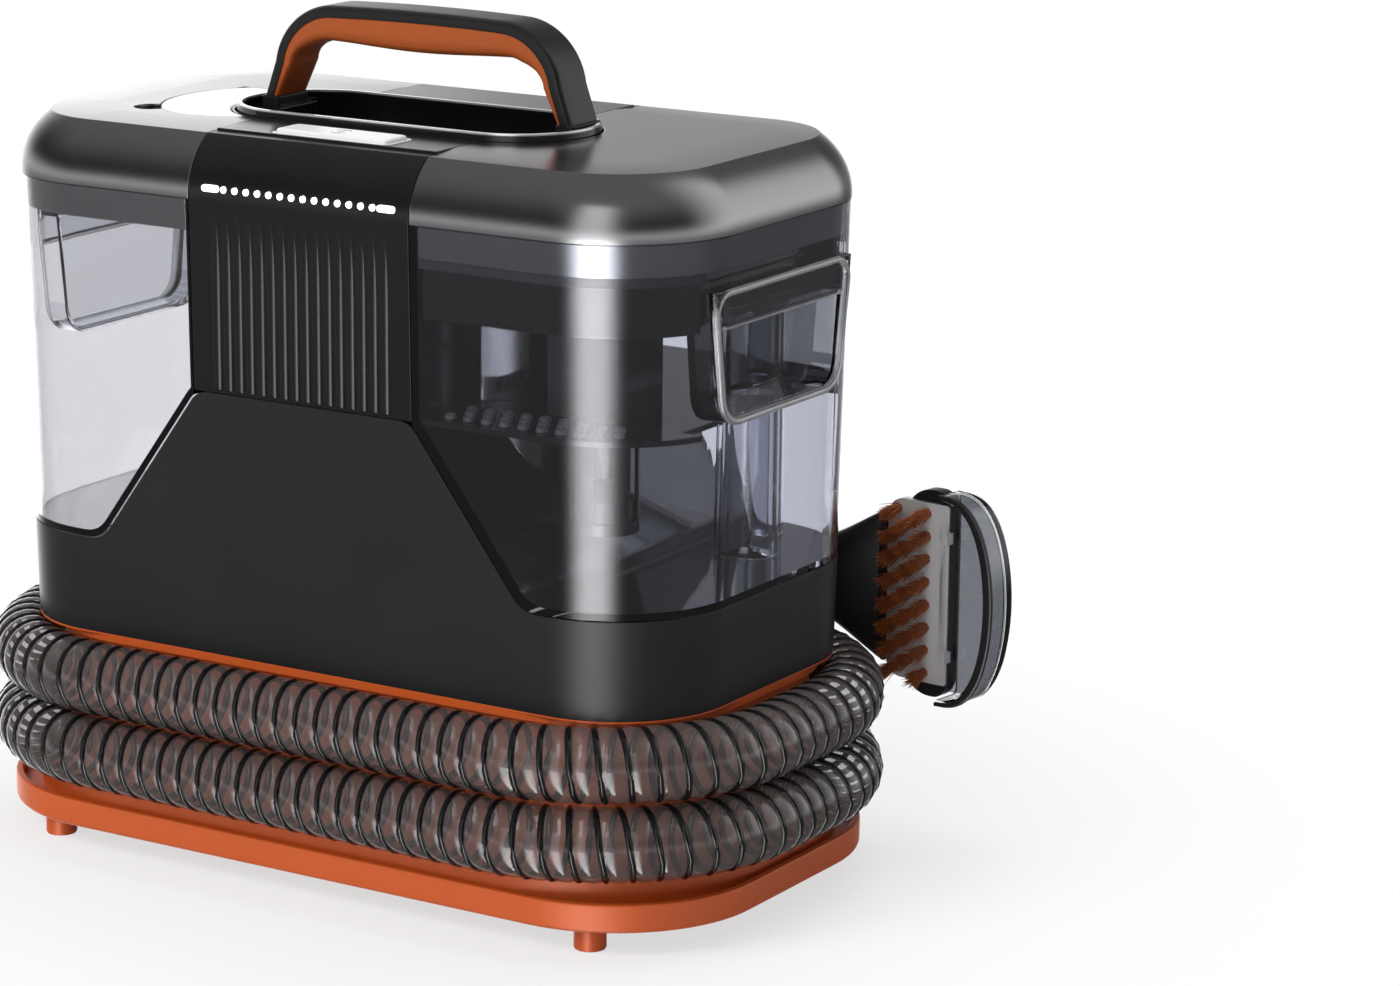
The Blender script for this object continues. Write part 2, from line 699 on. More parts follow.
inlay = (z_top + 1.5, z_top + 1.84)
mark = [extrusion("arc", arc(0, button_y, 4.4, start, start + 126, 21)
                  + arc(0, button_y, 3.7, start + 126, start, 21), "Z", *inlay)
        for start in (28, 208)]
mark = joined("power_mark", mark + [
    slab("bar", -0.4, 0.4, button_y - 2.9, button_y + 2.9, *inlay)])
finished(mark, inner_grey, "power_button")

# Row of lights: clear studs and two bars, lit from the board behind the panel.
light = moulded("lit clear plastic", (0.85, 0.9, 0.95), 0.3, grain=900, mottle=0.02, worn=0.0)
glow = light.node_tree.nodes["Principled BSDF"]
glow.inputs["Emission Color"].default_value = (0.93, 0.97, 1, 1)
glow.inputs["Emission Strength"].default_value = 2.6
dress("led_strip", light)
board_green = moulded("green circuit board", (0.02, 0.14, 0.05), 0.35, grain=300, coat=0.4,
                      mottle=0.2)
dress("led_board", board_green)


# --------------------------------------------------------- carrying recess
# Boat-shaped recess of gloss black plastic let into the top, with a bright
# plated trim on its rim. The handle's feet are screwed down in it from below.

chrome = moulded("bright plating", (0.95, 0.955, 0.96), 0.07, grain=200, depth=0.000004,
                 mottle=0.02, worn=0.0, metallic=0.7, smudge=0.02, soften=0.0004)
piano_black = moulded("piano black", (0.004, 0.004, 0.0042), 0.07, grain=200, depth=0.000003,
                      mottle=0.1, worn=0.04, smudge=0.02, coat=0.3)
dress("carry_pod", piano_black)
dress("pod_trim", chrome)
dress("handle_screws", steel)


# ------------------------------------------------------------ carry handle
# Arched grip: a satin black outer shell over the legs and bar, and a soft
# orange inner moulding that swells under the fingers.

handle_w, handle_leg, handle_lean, handle_bar, shell_t = 163.4, 9.5, 7, 18.6, 5
z_bar = z_top + 46.5


def arch(inset, foot_z, radius, turn, straight=14, cuts=18):
    """Front view of the handle from the right foot over to the left one."""
    foot, top, r = handle_w / 2 - inset, z_bar - inset, radius
    shoulder = foot - handle_lean
    first = math.radians(turn)
    x0, z0 = shoulder - r + r * math.cos(first), top - r + r * math.sin(first)
    half = [(foot + (x0 - foot) * i / 10, foot_z + (z0 - foot_z) * i / 10) for i in range(10)]
    half += arc(shoulder - r, top - r, r, turn, 90, cuts)
    half += [((shoulder - r) * (1 - i / straight), top) for i in range(1, straight + 1)]
    half = [(x, z - 2.6 * (x / foot) ** 2 * (z - foot_z) / (top - foot_z)) for x, z in half]
    return half + [(-x, z) for x, z in half[-2::-1]]


def swept(name, inner, outer, section):
    """Sweeps a closed (share, y) section along the strip between two arches."""
    return skin(name, [[(xo + (xi - xo) * u, y, zo + (zi - zo) * u) for u, y in section]
                       for (xi, zi), (xo, zo) in zip(inner, outer)])


shell_section = [(1, -11.5), (1, 11.5), (0.5, 11.5), (0.22, 11.2), (0.06, 10.2), (0, 8.6), (0, 3),
                 (0, -3), (0, -8.6), (0.06, -10.2), (0.22, -11.2), (0.5, -11.5)]
grip_section = [(0, -11), (0, 11), (0.5, 11), (0.78, 10.4), (0.93, 8.6), (1, 5.6), (1, -5.6),
                (0.93, -8.6), (0.78, -10.4), (0.5, -11)]
shell = swept("shell", arch(shell_t, z_top - 1, 30 - shell_t, 8), arch(0, z_top - 1, 30, 8),
              shell_section)
leg_xs = [side * (handle_w / 2 - handle_leg / 2) for side in (-1, 1)]
foot_blocks = [pillow("foot block", handle_leg, 23, 2, x, 0, (
    (0, z_top - 1), (0, z_top + 3.4), (0.6, z_top + 4))) for x in leg_xs]
handle_black = moulded("satin black handle", (0.01, 0.01, 0.0105), 0.33, grain=1500, worn=0.12,
                       level=0.28)
handle_shell = shaped(shell, join=foot_blocks,
                      cut=[rod("screw hole", x, 0, z_top - 4, z_top + 3, 1.5) for x in leg_xs])
finished(handle_shell, handle_black, "machine")
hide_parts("handle_shell")


def swell(x, z):
    """How far the grip's underside hangs below a plain arch."""
    thicker = (handle_bar - handle_leg - 3.2) * min(1, max(0, (z - z_top - 20) / 14))
    belly = 3 * max(0.0, math.cos(min(1.0, abs(x) / 52) * math.pi / 2)) ** 1.4
    return thicker + belly * (z > z_top + 30)


under = [(x, z - swell(x, z)) for x, z in arch(handle_leg, z_top + 4, 19, 5)]
soft_orange = moulded("soft orange grip", (0.45, 0.098, 0.02), 0.55, grain=1100, depth=0.00003,
                      mottle=0.05, worn=0.05, level=0.35)
grip = swept("handle_grip_soft", under, arch(shell_t + 0.02, z_top + 4, 30 - shell_t, 8),
             grip_section)
finished(grip, soft_orange, "machine", crease=50)
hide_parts("handle_grip")


# -------------------------------------------------------------- clean tank
# Clear moulded tank that sits over the left of the pedestal. A finger pocket
# with a hanging lip and a raised bead is moulded into its end wall.

tank_t, tank_gap, tank_x = 2.6, 0.5, 57
z_tank, z_tank_top = z_seat + 0.5, z_lid - seam
grip_low, grip_high, grip_deep, lip_h = z_seat + 80, z_seat + 132, 13, 13
grip_out = half_w(grip_high)


def pocket(name, x0, x1, grow, cuts=12):
    """Finger pocket, drawn from the end of the machine."""
    foot, r = 47 + grow, 12 + grow
    z = grip_low - grow + r
    outline = [(52 + grow, grip_high + grow), (-52 - grow, grip_high + grow)]
    outline += arc(r - foot, z, r, 180, 270, cuts) + arc(foot - r, z, r, 270, 360, cuts)
    return extrusion(name, outline, "X", x0, x1)


def pocket_bead(name, side, radius=1.7):
    """Round bead that frames the pocket, with the rolled edge of the lip across it."""
    path, rows = [], []
    for y, z, r, start in ((44, grip_high - 8, 9.3, 0), (-44, grip_high - 8, 9.3, 90),
                           (-35, grip_low + 12, 13.3, 180), (35, grip_low + 12, 13.3, 270)):
        path += arc(y, z, r, start, start + 90, 10)
    for i, (y, z) in enumerate(path):
        before, after = path[i - 1], path[(i + 1) % len(path)]
        ty, tz = after[0] - before[0], after[1] - before[1]
        long = math.hypot(ty, tz)
        rows.append([(side * (grip_out - 0.8 + up), y + out * tz / long, z - out * ty / long)
                     for out, up in circle(0, 0, radius, 12)])
    roll = skin("lip roll", [
        [(side * (grip_out - 1.9 + up), y, grip_high - lip_h + out)
         for out, up in circle(0, 0, r, 12)]
        for y, r in ((-51, 0.6), (-50.4, 1.2), (-49, 1.4), (49, 1.4), (50.4, 1.2), (51, 0.6))])
    return joined(name, [skin("frame bead", rows, loop=True), roll])


def right_end(name, x):
    """Room for all that lies to the right of x."""
    return slab(name, x, 250, -150, 150, 0, 400)


def end_half(z0, z1, inset=0.0, x=tank_x):
    return shaped(upright("half", z0, z1, inset), keep=right_end("side", x))


def for_left(made):
    """A form of the right end, turned over for the left end."""
    made.data.transform(Matrix.Diagonal((-1, 1, 1, 1)))
    made.data.flip_normals()
    return made


def tank(name, side):
    """A tank for one end: -1 is the clean tank and 1 the recovery tank."""
    room = end_half(z_tank + tank_t, z_tank_top + 5, tank_t, tank_x + tank_t)
    floor_wall = shaped(end_half(z_tank, z_tank_top), keep=shaped(
        bib("over pedestal", tank_gap + tank_t),
        join=stadium("channel wall", 1 + tank_t, z_seat - 5, 330)))
    pocket_wall = shaped(pocket("pocket wall", grip_out - grip_deep - tank_t, 250, tank_t),
                         keep=end_half(z_tank, z_tank_top))
    bead = shaped(pocket("bead", grip_out - 4, grip_out + 0.6, 2.4),
                  cut=pocket("mouth", grip_out - 5, 200, 0))
    hole = shaped(pocket("hole", grip_out - grip_deep, 250, 0),
                  cut=slab("lip", grip_out - 3.2, 260, -80, 80, grip_high - lip_h, grip_high + 10))
    face = shaped(slab("face", grip_out - 6, grip_out + 14, -70, 70, grip_low - 10, grip_high + 10),
                  cut=[upright("body", z_seat, z_lid),
                       pocket("trim", grip_out - 7, grip_out + 0.6, 2.4)])
    through = (z_seat - 1, z_seat + 9)
    ports = ([rod("port", -outlet_x, 0, *through, 7.3)] if side < 0 else
             [rod("port", *suction_at, *through, 10), rod("port", *intake_at, *through, 7)])
    body = shaped(end_half(z_tank, z_tank_top), cut=room, join=[floor_wall, pocket_wall, bead],
                  cut1=[bib("pedestal", tank_gap), stadium("channel", 1, z_seat - 5, 330),
                        hole, face] + ports)
    body.name = name
    return body if side > 0 else for_left(body)


def clear_plastic(name, tint, ior=1.4, rough=0.015, level=0.5, see=1.0):
    """Clear moulding: tinted, with faint flow lines from the mould."""
    material = bpy.data.materials.new(name)
    bench = bare(material)
    place = bench.add("ShaderNodeTexCoord", out="Object")
    stretch = bench.add("ShaderNodeMapping", sockets={"Vector": place, "Scale": (1, 1, 0.25)})
    flow, haze = bench.noise(stretch, 26.0, 2.0), bench.noise(place, 160.0, 4.0)
    tone = bench.blend(haze, [channel * 0.97 for channel in tint] + [1], list(tint) + [1])
    relief = bench.add("ShaderNodeBump",
                       sockets={"Strength": 0.25, "Distance": 0.0002, "Height": flow})
    bench.surface(Base_Color=tone, Roughness=haze * 0.02 + rough, IOR=ior,
                  Transmission_Weight=see, Specular_IOR_Level=level, Normal=relief)
    return material


def second_tone(made, material, low, high):
    """A second material on faces that lie wholly in a box, the same box at both ends."""
    mesh = made.data
    mesh.materials.append(material)
    inside = [all(low[i] <= (abs(v.co[i]) if i < 2 else v.co[i]) / mm <= high[i] for i in range(3))
              for v in mesh.vertices]
    for face in mesh.polygons:
        if all(inside[v] for v in face.vertices):
            face.material_index = 1
    return made


pocket_box = ((grip_out - grip_deep - tank_t - 0.5, 0, grip_low - tank_t - 0.5),
              (grip_out - 0.5, 56, grip_high + 4))
bead_clear = clear_plastic("polished bead plastic", (0.9, 0.9, 0.92), ior=1.55, level=0.9, see=0.72)
tank_clear = clear_plastic("clear tank plastic", (0.9, 0.9, 0.93), ior=1.45)
clean_tank = finished(tank("clean_tank_shell", -1), tank_clear, "clean_tank")
second_tone(clean_tank, clear_plastic("thick clear plastic", (0.62, 0.63, 0.66), ior=1.45),
            *pocket_box)
finished(pocket_bead("clean_tank_bead", -1), bead_clear, "clean_tank", crease=60)
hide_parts("clean_tank")


# ---------------------------------------------------------- clean tank lid
# Crowned lid of dark metallic gloss plastic, with a skirt that plugs into the
# tank. A silver filler flap turns on a steel pin let into its back edge.

def crown(name, z0, inset=0.0, drop=0.0, x=tank_x):
    rows = [body_ring(z0, inset)] if z0 < z_lid - drop - 0.01 else []
    rows += [body_ring(z, a) for a, z in crown_steps(inset, drop, 20)]
    return shaped(skin(name, rows), keep=right_end("side", x))


pin_y, pin_z = 21, z_top - 1.6
flap_x, flap_rx, flap_ry = 88, 37, 45


def pin_bar(name, radius, x0, x1):
    return extrusion(name, circle(pin_y, pin_z, radius, 24), "X", x0, x1)


def flap_form(name, grow, z0, z1):
    """The flap's outline round the end of the recess, as a slab at the right end."""
    oval = extrusion(name, [(flap_x + (flap_rx + grow) * x, pod_y + (flap_ry + grow) * y)
                            for x, y in circle(0, 0, 1, 60)], "Z", z0, z1)
    return shaped(oval, keep=slab("trim", 67 - grow, 200, -100, 24 + grow, z0 - 1, z1 + 1),
                  cut=[stadium("end of recess", 2.5 - grow, z0 - 2, z1 + 2),
                       slab("corner", 20, 77.5 - grow, 16 - grow, 76, z0 - 2, z1 + 2)])


def lid(name, side):
    """A tank's lid: -1 is the clean tank's, with the seat and pin way of its flap."""
    clear, thick, all_heights = tank_t + seam, 2.6, (100, 330)
    room = shaped(crown("room", z_lid - thick, clear + 2, thick, tank_x + thick),
                  cut=stadium("recess wall", 3, *all_heights))
    below = shaped(upright("below", z_lid - 15, z_lid + 3, clear + 2),
                   cut=[slab("inner", -260, tank_x + clear + 2, -150, 150, 0, 400),
                        stadium("recess wall", clear + 3, *all_heights)])
    rim = shaped(stadium("rim", clear + 1, *all_heights),
                 keep=slab("low", 0, 250, -150, 150, z_lid - 20, z_lid))
    wall_side = slab("wall side", tank_x - 1, tank_x + clear, -150, 150, z_lid - 20, z_lid)
    made = crown(name, z_lid)
    steps = {"join": end_half(z_lid - 14, z_lid + 1, clear), "cut": [room, below, wall_side, rim]}
    channel = stadium("channel", 1, 100, 340)
    if side > 0:
        steps["cut"].append(channel)
    else:
        steps["join1"] = shaped(flap_form("seat", 2.4, z_top - 7.2, z_top - 2.2),
                                join=slab("knuckle", 72.1, 121.4, 15, 27, z_top - 8, z_top - 1.8))
        steps["cut1"] = [flap_form("flap room", 0.6, z_top - 3.4, z_top + 6.6),
                         rod("filler", 104, pod_y, z_top - 12, z_top + 8, 11),
                         rod("notch", 116, pod_y - 36, z_top - 3.4, z_top + 8.6, 8),
                         pin_bar("trough", 4, 77.1, 118), pin_bar("pin way", 1, 75.5, 120), channel]
    made = shaped(made, **steps)
    made.name = name
    return made if side > 0 else for_left(made)


lid_gloss = moulded("dark metallic lid", (0.24, 0.242, 0.248), 0.2, grain=1800, depth=0.000006,
                    mottle=0.05, worn=0.03, metallic=1.0, smudge=0.03, flow=0.00003)
skirt_black = moulded("gloss black skirt", (0.008, 0.008, 0.011), 0.15, grain=300, depth=0.000006,
                      level=0.25)
skirt_box = ((0, 0, z_lid - 16), (260, 160, z_lid - 0.2))
clean_lid = finished(lid("clean_lid", -1), lid_gloss, "clean_tank")
second_tone(clean_lid, skirt_black, *skirt_box)
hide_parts("clean_cap")

flap = for_left(flap_form("filler_flap", 0, z_top - 2.9, z_top + 0.2))
soft_edge = flap.modifiers.new("soft edge", "BEVEL")
soft_edge.width, soft_edge.segments, soft_edge.limit_method = 0.0009, 4, "ANGLE"
soft_edge.angle_limit = math.radians(50)
finished(settled(flap), silver, "fill_flap", crease=40)
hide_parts("fill_flap")
dress("flap_pin", steel)

# Outlet under the tank: a flanged bush with a sprung valve, and its dock.
dress("outlet_body", inner_black)
dress("outlet_valve", moulded("white valve plastic", (0.75, 0.75, 0.73), 0.4))
dress("valve_dock", inner_black)
coil_foot, coil_top, coil_r, coil_wire, coil_turns = z_tank + 6, z_tank + 11.8, 2.75, 0.42, 4.5
coil_rise, coil_cuts = coil_top - coil_foot - 2 * coil_wire, 24
coil = []
for i in range(int(coil_turns * coil_cuts) + 1):
    a = 2 * math.pi * i / coil_cuts
    z = coil_foot + coil_wire + coil_rise * i / (coil_turns * coil_cuts)
    coil.append([(outlet_x + (coil_r + out) * math.cos(a), (coil_r + out) * math.sin(a), z + up)
                 for out, up in circle(0, 0, coil_wire, 8)])
coil = finished(skin("outlet_coil", coil), steel, "clean_tank")
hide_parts("outlet_spring")
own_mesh(coil)


# ----------------------------------------------------------- recovery tank
# Its mirror image for dirty water, moulded in a smokier grade, with its lid.

tank_smoke = clear_plastic("smoked tank plastic", (0.76, 0.77, 0.83), ior=1.45)
dirty_tank = finished(tank("recovery_tank_shell", 1), tank_smoke, "recovery_tank")
second_tone(dirty_tank, clear_plastic("thick smoked plastic", (0.16, 0.165, 0.18), ior=1.45),
            *pocket_box)
finished(pocket_bead("recovery_tank_bead", 1), bead_clear, "recovery_tank",
         crease=60)
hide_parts("dirty_tank")
dirty_lid = finished(lid("recovery_lid", 1), lid_gloss, "recovery_tank")
second_tone(dirty_lid, skirt_black, *skirt_box)
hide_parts("dirty_cap")

# Separator: grey seal, dark head, square air duct, plate with raised drip
# holes, two standpipes, and a caged float that shuts the duct.
dress("lid_seal", moulded("grey seal rubber", (0.16, 0.165, 0.18), 0.55, grain=700))
dress("separator_head", moulded("dark head moulding", (0.01, 0.01, 0.012), 0.1, grain=500,
                                depth=0.00001))
dress("air_duct", moulded("grey duct moulding", (0.24, 0.252, 0.28), 0.14, grain=600))
dress("splash_plate", moulded("black plate moulding", (0.008, 0.008, 0.01), 0.12, grain=500,
                              depth=0.00001))
pipe_clear = clear_plastic("clear pipe plastic", (0.8, 0.81, 0.85))
dress("intake_pipe", pipe_clear)
dress("suction_pipe", pipe_clear)
dress("float_cage", moulded("dark cage moulding", (0.035, 0.035, 0.04), 0.1, grain=500,
                            depth=0.00001))
dress("float", moulded("grey float plastic", (0.3, 0.31, 0.33), 0.3))

z_plate = z_seat + 73
nub = turned("nub", 0, 0, ((2.6, -0.5), (2.5, 1), (2.3, 1.6), (1.9, 1.9), (1.6, 1.8), (1.5, 1.2),
                           (1.5, -0.4)), 20)
collar_white = moulded("white collars", (0.85, 0.86, 0.9), 0.12, grain=700)


def drip_holes(bench, given):
    """Raised collars round three staggered rows of holes in the plate."""
    form, step = shape_of(bench, given("Collar")), offset(bench, given("Pitch"))
    rows = []
    for row in range(3):
        shift = offset(bench, given("Pitch") * (0.5 * (row % 2)), given("Row step") * row)
        start = bench.vector("ADD", given("Start"), shift)
        rows.append(in_line(bench, form, given("In a row"), start, step))
    return together(bench, rows)


collars = grown("drip_collars", drip_holes, {
    "Collar": ("Object", nub), "In a row": ("Int", 9), "Pitch": ("Float", 9 * mm),
    "Start": ("Vector", ((tank_x + 12) * mm, (tank_t + 9 - half_d(z_plate)) * mm,
                         (z_plate + 2.4) * mm)),
    "Row step": ("Float", 8 * mm), "Material": ("Material", collar_white)})
finished(collars, collar_white, "recovery_tank")
bpy.data.objects.remove(nub)


# --------------------------------------------------------- drive and water
# Inside the waist and pedestal: suction motor with its fan, water pump, board
# and lines. Each keeps its plain moulded or metal finish.

dress("motor", moulded("motor can", (0.35, 0.36, 0.37), 0.3, grain=400, metallic=1.0))
dress("rotor", moulded("cast fan metal", (0.6, 0.61, 0.62), 0.35, grain=600, metallic=1.0))
for node in ("fan_housing", "vacuum_duct", "pump", "intake_line"):
    dress(node, inner_black)
dress("water_line", pipe_clear)
dress("control_board", board_green)

# Rear wall: louvred vent and the bush for the mains lead.
dress("vent_grille", satin_black)
dress("cord_inlet", inner_black)


# -------------------------------------------------------------------- hose
# Smoky clear suction hose with a black wire helix, wound twice round the waist
# from the elbow at the back and up to the hand grip.

coil_x, coil_y, bend, layer_1, layer_step = 187.9, 105.7, 85, 47.4, 34.2
grip_y, grip_z = 119.1, 115.8
hx, hy, corner_run = coil_x - bend, coil_y - bend, math.pi * bend / 2
lap = 4 * (hx + hy + corner_run)
hose_from, hose_to = hx - 64, 2 * lap + hx - 58
wire_turns = 198.5


def on_plan(s):
    """Point and outward direction on the coil's plan, clockwise from the back."""
    t = s % lap
    legs = ((2 * hx, (-hx, coil_y), (1, 0), (0, 1)), (corner_run, (hx, hy), 90),
            (2 * hy, (coil_x, hy), (0, -1), (1, 0)), (corner_run, (hx, -hy), 0),
            (2 * hx, (hx, -coil_y), (-1, 0), (0, -1)), (corner_run, (-hx, -hy), -90),
            (2 * hy, (-coil_x, -hy), (0, 1), (-1, 0)), (corner_run, (-hx, hy), 180))
    for leg in legs:
        if t <= leg[0]:
            if len(leg) == 3:
                a = math.radians(leg[2] - 90 * t / leg[0])
                return (leg[1][0] + bend * math.cos(a), leg[1][1] + bend * math.sin(a),
                        math.cos(a), math.sin(a))
            return (leg[1][0] + leg[2][0] * t, leg[1][1] + leg[2][1] * t) + leg[3]
        t -= leg[0]
    return on_plan(0)


def ease(s, a, b):
    """0 before a, 1 after b and smooth between."""
    u = min(1, max(0, (s - a) / (b - a)))
    return u * u * (3 - 2 * u)


# Runs of the hose on which it climbs a layer, climbs to the grip and moves outwards.
climb, route_cuts = lap - corner_run - 2 * hy, 600
to_layer_2, to_grip = (climb, lap + hx - 98), (lap + climb, hose_to - 35.86)
outwards = (lap + climb - 30, lap + climb + 75)
route_points = []
for i in range(route_cuts + 1):
    s = hose_from + (hose_to - hose_from) * i / route_cuts
    x, y, nx, ny = on_plan(s)
    up = ease(s, *to_layer_2) + ease(s, *to_grip)
    off = (grip_y - coil_y) * ease(s, *outwards)
    route_points.append(Vector((x + off * nx, y + off * ny, layer_1 + layer_step * up)) * mm)
route = placed("route", bpy.data.meshes.new("route"))
route.data.from_pydata(route_points, [(i, i + 1) for i in range(route_cuts)], [])


def film(name, colour, see, rough):
    """Smoky flexible plastic that turns denser where it is seen edge on."""
    material = bpy.data.materials.new(name)
    bench = bare(material)
    cloud = bench.noise(bench.add("ShaderNodeTexCoord", out="Object"), 90.0, 3.0)
    rim = bench.add("ShaderNodeLayerWeight", sockets={"Blend": 0.35}, out="Facing")
    tone = bench.blend(cloud, list(colour) + [1], [channel * 1.25 for channel in colour] + [1])
    relief = bench.add("ShaderNodeBump",
                       sockets={"Strength": 0.3, "Distance": 0.0002, "Height": cloud})
    bench.surface(Base_Color=tone, Roughness=cloud * 0.08 + rough, Alpha=rim * 0.4 + see,
                  Normal=relief, Specular_IOR_Level=0.9, Coat_Weight=1.0, Coat_Roughness=0.03)
    return material


hose_film = film("smoky hose film", (0.12, 0.098, 0.095), 0.31, 0.05)
wire_black = moulded("gloss black wire", (0.005, 0.005, 0.0055), 0.14, grain=900, depth=0.000004,
                     mottle=0.1, worn=0.03, soften=0.0003, level=0.35)


def along_route(bench, given, points):
    """Curve on the route, its upright and across directions and the wire's angle."""
    curve = bench.add("GeometryNodeMeshToCurve", sockets={"Mesh": shape_of(bench, given("Route"))})
    curve = bench.add("GeometryNodeResampleCurve", {"mode": "COUNT"},
                      {"Curve": curve, "Count": points})
    curve = bench.add("GeometryNodeSetCurveNormal", {"mode": "Z_UP"}, {"Curve": curve})
    over = bench.add("GeometryNodeInputNormal")
    beside = bench.vector("CROSS_PRODUCT", bench.add("GeometryNodeInputTangent"), over)
    share = bench.add("GeometryNodeSplineParameter", out="Factor")
    return curve, over, beside, share * given("Turns") * (2 * math.pi)


def round_along(bench, curve, sides, radius):
    """Closed round bar along a curve."""
    section = bench.add("GeometryNodeCurvePrimitiveCircle",
                        sockets={"Resolution": sides, "Radius": radius})
    return bench.add("GeometryNodeCurveToMesh", sockets={
        "Curve": curve, "Profile Curve": section, "Fill Caps": True})


def film_tube(bench, given):
    """Thin tube that swells between the turns of the wire."""
    curve, over, beside, phase = along_route(bench, given, 1592)
    middle = bench.add("GeometryNodeInputPosition")
    for name, kind, value in (("middle", "FLOAT_VECTOR", middle), ("over", "FLOAT_VECTOR", over),
                              ("beside", "FLOAT_VECTOR", beside), ("phase", "FLOAT", phase)):
        curve = bench.add("GeometryNodeStoreNamedAttribute",
                          {"data_type": kind, "domain": "POINT"},
                          {"Geometry": curve, "Name": name, "Value": value})
    tube = round_along(bench, curve, 26, given("Radius"))

    def kept(name, kind="FLOAT_VECTOR"):
        return bench.add("GeometryNodeInputNamedAttribute", {"data_type": kind}, {"Name": name},
                         out="Attribute")

    out = bench.vector("NORMALIZE", bench.vector(
        "SUBTRACT", bench.add("GeometryNodeInputPosition"), kept("middle")))
    angle = bench.vector("DOT_PRODUCT", out, kept("beside"), out="Value").maths(
        "ARCTAN2", bench.vector("DOT_PRODUCT", out, kept("over"), out="Value"))
    bulge = ((kept("phase", "FLOAT") - angle) / 2).maths("SINE").maths("ABSOLUTE")
    radius = given("Radius") + bulge.maths("POWER", 0.7) * given("Swell")
    place = bench.vector("MULTIPLY_ADD", out, offset(bench, radius, radius, radius), kept("middle"))
    return bench.add("GeometryNodeSetPosition", sockets={"Geometry": tube, "Position": place})


def wire_helix(bench, given):
    """Wire wound on the tube, standing a little proud of it."""
    curve, over, beside, phase = along_route(bench, given, 3800)

    def scaled(vector, by):
        return bench.add("ShaderNodeVectorMath", {"operation": "SCALE"}, {0: vector, "Scale": by})

    shift = bench.vector("ADD", scaled(over, phase.maths("COSINE") * given("Radius")),
                         scaled(beside, phase.maths("SINE") * given("Radius")))
    curve = bench.add("GeometryNodeSetPosition", sockets={"Geometry": curve, "Offset": shift})
    return round_along(bench, curve, 8, given("Wire"))


wound = {"Route": ("Object", route), "Turns": ("Float", wire_turns)}
hose_tube = grown("hose_tube", film_tube, {
    **wound, "Radius": ("Float", 14.5 * mm), "Swell": ("Float", 1.5 * mm),
    "Material": ("Material", hose_film)})
hose_wire = grown("hose_wire", wire_helix, {
    **wound, "Radius": ("Float", 14.85 * mm), "Wire": ("Float", 1.45 * mm),
    "Material": ("Material", wire_black)})
finished(hose_tube, hose_film, "machine", crease=120)
finished(hose_wire, wire_black, "machine", crease=120)
for name in ("middle", "over", "beside", "phase"):
    if name in hose_tube.data.attributes:
        hose_tube.data.attributes.remove(hose_tube.data.attributes[name])
bpy.data.objects.remove(route)
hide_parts("hose")

# Elbow at the waist and cuff at the hand grip, both satin black.
tool_black = moulded("satin black tool plastic", (0.012, 0.012, 0.0125), 0.34, grain=1200,
                     worn=0.12, level=0.45)
dress("hose_elbow", tool_black)


def turned_x(name, y, z, steps, sides=48):
    """Lathe-turned form on an axis along X, from (x, radius) steps."""
    return skin(name, [[(x,) + point for point in circle(y, z, radius, sides)]
                       for x, radius in steps])


cuff_steps = [(-57.85, 15.4), (-57.6, 15.9), (-54, 16)]
for x in (-53.6, -51, -48.4, -45.8):
    cuff_steps += [(x, 16), (x + 0.5, 16.3), (x + 1.4, 16.3), (x + 1.9, 15.8)]
cuff_steps += [(-40, 16), (-36.6, 16), (-36.15, 15.5)]
cuff = shaped(turned_x("hose_cuff_sleeve", grip_y, grip_z, cuff_steps),
              cut=turned_x("bore", grip_y, grip_z, ((-59, 12), (-30, 12))))
finished(cuff, tool_black, "machine")
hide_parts("hose_cuff")


# --------------------------------------------------------------- hand grip
# Hollow grip that lies docked behind the housing in two moulded hooks, with a
# ribbed hold, a locking collar and an orange spray trigger on a steel pin.

grip_steps = [(-36, 14.6), (-35.4, 15.9), (-34, 16.4), (-26, 16.5), (-12, 16.5), (-6, 16.2),
              (0, 15.9)]
for i in range(9):
    x = 3 + i * 4.6
    grip_steps += [(x, 15.9), (x + 0.8, 16.5), (x + 2.4, 16.5), (x + 3.2, 15.9)]
grip_steps += [(46, 16.3), (50, 16.5), (64, 16.5), (65.6, 16.5), (66, 17.1), (66.6, 17.5),
               (83.4, 17.5), (84, 17.1), (84.4, 16.5), (90.6, 16.5), (91.6, 16.1), (92, 15.2)]
grip_bore = ((-40, 10.5), (62, 10.5), (62.01, 11.05), (96, 11.05))
hand_grip = shaped(turned_x("hand_grip_shell", grip_y, grip_z, grip_steps), cut=[
    turned_x("bore", grip_y, grip_z, grip_bore),
    slab("trigger slot", 1, 49, grip_y + 6, grip_y + 26, grip_z - 5.5, grip_z + 5.5),
    rod("pin way", 6, 132.3, grip_z - 12, grip_z + 12, 1.52, 20)])
finished(hand_grip, tool_black, "machine")
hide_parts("hand_grip")
dress("spray_trigger", soft_orange)
dress("trigger_pin", steel)
dress("grip_cradles", satin_black)


# -------------------------------------------------------------- brush tool
# Upholstery tool plugged into the hand grip: black body that flares to the
# head, white brush plate with tufts, and a clear suction hood with a black lip.

head_half, head_t, head_x, head_y, head_z = 47.5, 9, 173, 123.1, 112.8
turn_by = math.radians(-8)


def on_head(x, y, z):
    """Place on the brush head: x along it, z across it, -y out of the bristles."""
    return (head_x + x * math.cos(turn_by) - y * math.sin(turn_by),
            head_y + x * math.sin(turn_by) + y * math.cos(turn_by), head_z + z)


